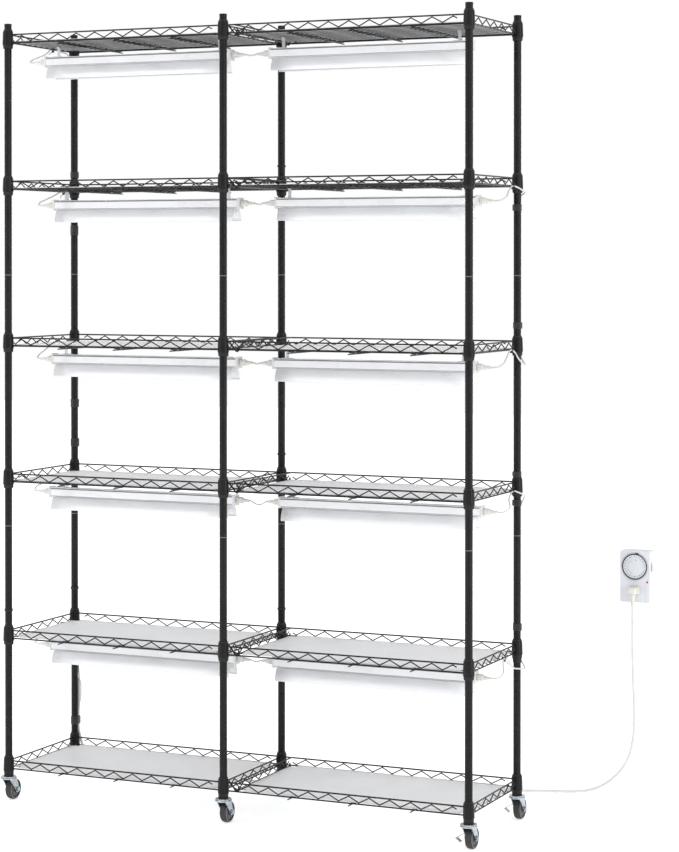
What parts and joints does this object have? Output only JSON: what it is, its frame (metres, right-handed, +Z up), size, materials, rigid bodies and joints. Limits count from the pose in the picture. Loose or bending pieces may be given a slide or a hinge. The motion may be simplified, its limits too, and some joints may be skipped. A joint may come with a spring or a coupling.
{
  "type": "wire shelving rack with grow lights",
  "caption": "Two-bay black wire shelving rack on swivel casters, with hooded grow lights under its shelves, linked cords and a wall timer.",
  "frame": {"origin": "on the floor, under the middle of the rack with its lights, cords on the posts and casters; the mains cord, plug and timer are left out", "axes": "+X along the shelves to the right seen from the front, +Y from front to back, +Z up"},
  "size_m": [1.4583, 0.742, 1.889],
  "materials": {
    "shelf_wire": "satin black epoxy",
    "post_tube": "satin black epoxy",
    "black_plastic": "moulded",
    "liner_sheet": "translucent grey-white sheet",
    "plain_steel": "plain",
    "white_enamel": "gloss white",
    "reflector_sheet": "satin",
    "opal_cover": "opal",
    "circuit_parts": "matt",
    "white_plastic": "gloss white",
    "ivory_plastic": "off-white",
    "grey_cord": "light grey",
    "white_cord": "white",
    "strap_fabric": "hook-and-loop weave",
    "zinc_plated": "bright zinc",
    "wheel_tread": "dark grey moulding",
    "timer_white": "white moulding",
    "red_lens": "clear red",
    "brass_blade": "bright"
  },
  "bodies": {
    "rack": {"cable_ties": "black_plastic", "caster_plates": "zinc_plated", "cord_straps": "strap_fabric", "corner_sleeves": "black_plastic", "foot_inserts": "black_plastic", "jumper_cords": "grey_cord", "lead_coupler": "ivory_plastic", "light_connectors": "ivory_plastic", "light_diffusers": "opal_cover", "light_electronics": "circuit_parts", "light_end_caps": "white_plastic", "light_hanger_clips": "plain_steel", "light_housings": "white_enamel", "light_reflectors": "reflector_sheet", "link_cords": "grey_cord", "main_cord": "white_cord", "main_plug": "ivory_plastic", "post_back_left": "post_tube", "post_back_middle": "post_tube", "post_back_right": "post_tube", "post_caps": "black_plastic", "post_front_left": "post_tube", "post_front_middle": "post_tube", "post_front_right": "post_tube", "post_joint_studs": "plain_steel", "s_hooks": "shelf_wire", "shelf_left_1": "shelf_wire", "shelf_left_2": "shelf_wire", "shelf_left_3": "shelf_wire", "shelf_left_4": "shelf_wire", "shelf_left_5": "shelf_wire", "shelf_left_6": "shelf_wire", "shelf_liners": "liner_sheet", "shelf_right_1": "shelf_wire", "shelf_right_2": "shelf_wire", "shelf_right_3": "shelf_wire", "shelf_right_4": "shelf_wire", "shelf_right_5": "shelf_wire", "shelf_right_6": "shelf_wire", "timer_bezel": "black_plastic", "timer_case": "timer_white", "timer_indicator": "red_lens", "timer_prongs": "brass_blade"},
    "fork_front_left": {"caster_fork_front_left": "zinc_plated"},
    "wheel_front_left": {"caster_wheel_front_left": "wheel_tread"},
    "fork_front_middle": {"caster_fork_front_middle": "zinc_plated"},
    "wheel_front_middle": {"caster_wheel_front_middle": "wheel_tread"},
    "fork_front_right": {"caster_fork_front_right": "zinc_plated"},
    "wheel_front_right": {"caster_wheel_front_right": "wheel_tread"},
    "fork_back_left": {"caster_fork_back_left": "zinc_plated"},
    "wheel_back_left": {"caster_wheel_back_left": "wheel_tread"},
    "fork_back_middle": {"caster_fork_back_middle": "zinc_plated"},
    "wheel_back_middle": {"caster_wheel_back_middle": "wheel_tread"},
    "fork_back_right": {"caster_fork_back_right": "zinc_plated"},
    "wheel_back_right": {"caster_wheel_back_right": "wheel_tread"},
    "pedal_front_right": {"brake_pedal_front_right": "zinc_plated"},
    "pedal_back_right": {"brake_pedal_back_right": "zinc_plated"},
    "dial": {"timer_dial": "timer_white", "timer_pins": "black_plastic"},
    "switch": {"timer_switch": "black_plastic"}
  },
  "joints": [
    {"name": "swivel_front_left", "type": "hinge", "parent": "rack", "child": "fork_front_left", "pos_m": [-0.5929, -0.1715, 0.055], "axis": [0, 0, 1], "continuous": true},
    {"name": "roll_front_left", "type": "hinge", "parent": "fork_front_left", "child": "wheel_front_left", "pos_m": [-0.5929, -0.1515, 0.025], "axis": [1, 0, 0], "continuous": true},
    {"name": "swivel_front_middle", "type": "hinge", "parent": "rack", "child": "fork_front_middle", "pos_m": [-0.0087, -0.1715, 0.055], "axis": [0, 0, 1], "continuous": true},
    {"name": "roll_front_middle", "type": "hinge", "parent": "fork_front_middle", "child": "wheel_front_middle", "pos_m": [-0.0087, -0.1515, 0.025], "axis": [1, 0, 0], "continuous": true},
    {"name": "swivel_front_right", "type": "hinge", "parent": "rack", "child": "fork_front_right", "pos_m": [0.6025, -0.1715, 0.055], "axis": [0, 0, 1], "continuous": true},
    {"name": "roll_front_right", "type": "hinge", "parent": "fork_front_right", "child": "wheel_front_right", "pos_m": [0.6025, -0.1515, 0.025], "axis": [1, 0, 0], "continuous": true},
    {"name": "swivel_back_left", "type": "hinge", "parent": "rack", "child": "fork_back_left", "pos_m": [-0.5929, 0.1465, 0.055], "axis": [0, 0, 1], "continuous": true},
    {"name": "roll_back_left", "type": "hinge", "parent": "fork_back_left", "child": "wheel_back_left", "pos_m": [-0.5929, 0.1665, 0.025], "axis": [1, 0, 0], "continuous": true},
    {"name": "swivel_back_middle", "type": "hinge", "parent": "rack", "child": "fork_back_middle", "pos_m": [-0.0087, 0.1465, 0.055], "axis": [0, 0, 1], "continuous": true},
    {"name": "roll_back_middle", "type": "hinge", "parent": "fork_back_middle", "child": "wheel_back_middle", "pos_m": [-0.0087, 0.1665, 0.025], "axis": [1, 0, 0], "continuous": true},
    {"name": "swivel_back_right", "type": "hinge", "parent": "rack", "child": "fork_back_right", "pos_m": [0.6025, 0.1465, 0.055], "axis": [0, 0, 1], "continuous": true},
    {"name": "roll_back_right", "type": "hinge", "parent": "fork_back_right", "child": "wheel_back_right", "pos_m": [0.6025, 0.1665, 0.025], "axis": [1, 0, 0], "continuous": true},
    {"name": "brake_front_right", "type": "hinge", "parent": "fork_front_right", "child": "pedal_front_right", "pos_m": [0.6025, -0.1515, 0.025], "axis": [1, 0, 0], "range_deg": [0, 20]},
    {"name": "brake_back_right", "type": "hinge", "parent": "fork_back_right", "child": "pedal_back_right", "pos_m": [0.6025, 0.1665, 0.025], "axis": [1, 0, 0], "range_deg": [0, 20]},
    {"name": "dial_turn", "type": "hinge", "parent": "rack", "child": "dial", "pos_m": [0.7828, 0.4935, 0.5658], "axis": [0, -1, 0], "continuous": true},
    {"name": "switch_slide", "type": "slide", "parent": "rack", "child": "switch", "axis": [0, 0, 1], "range_m": [0, 0.006]}
  ]
}
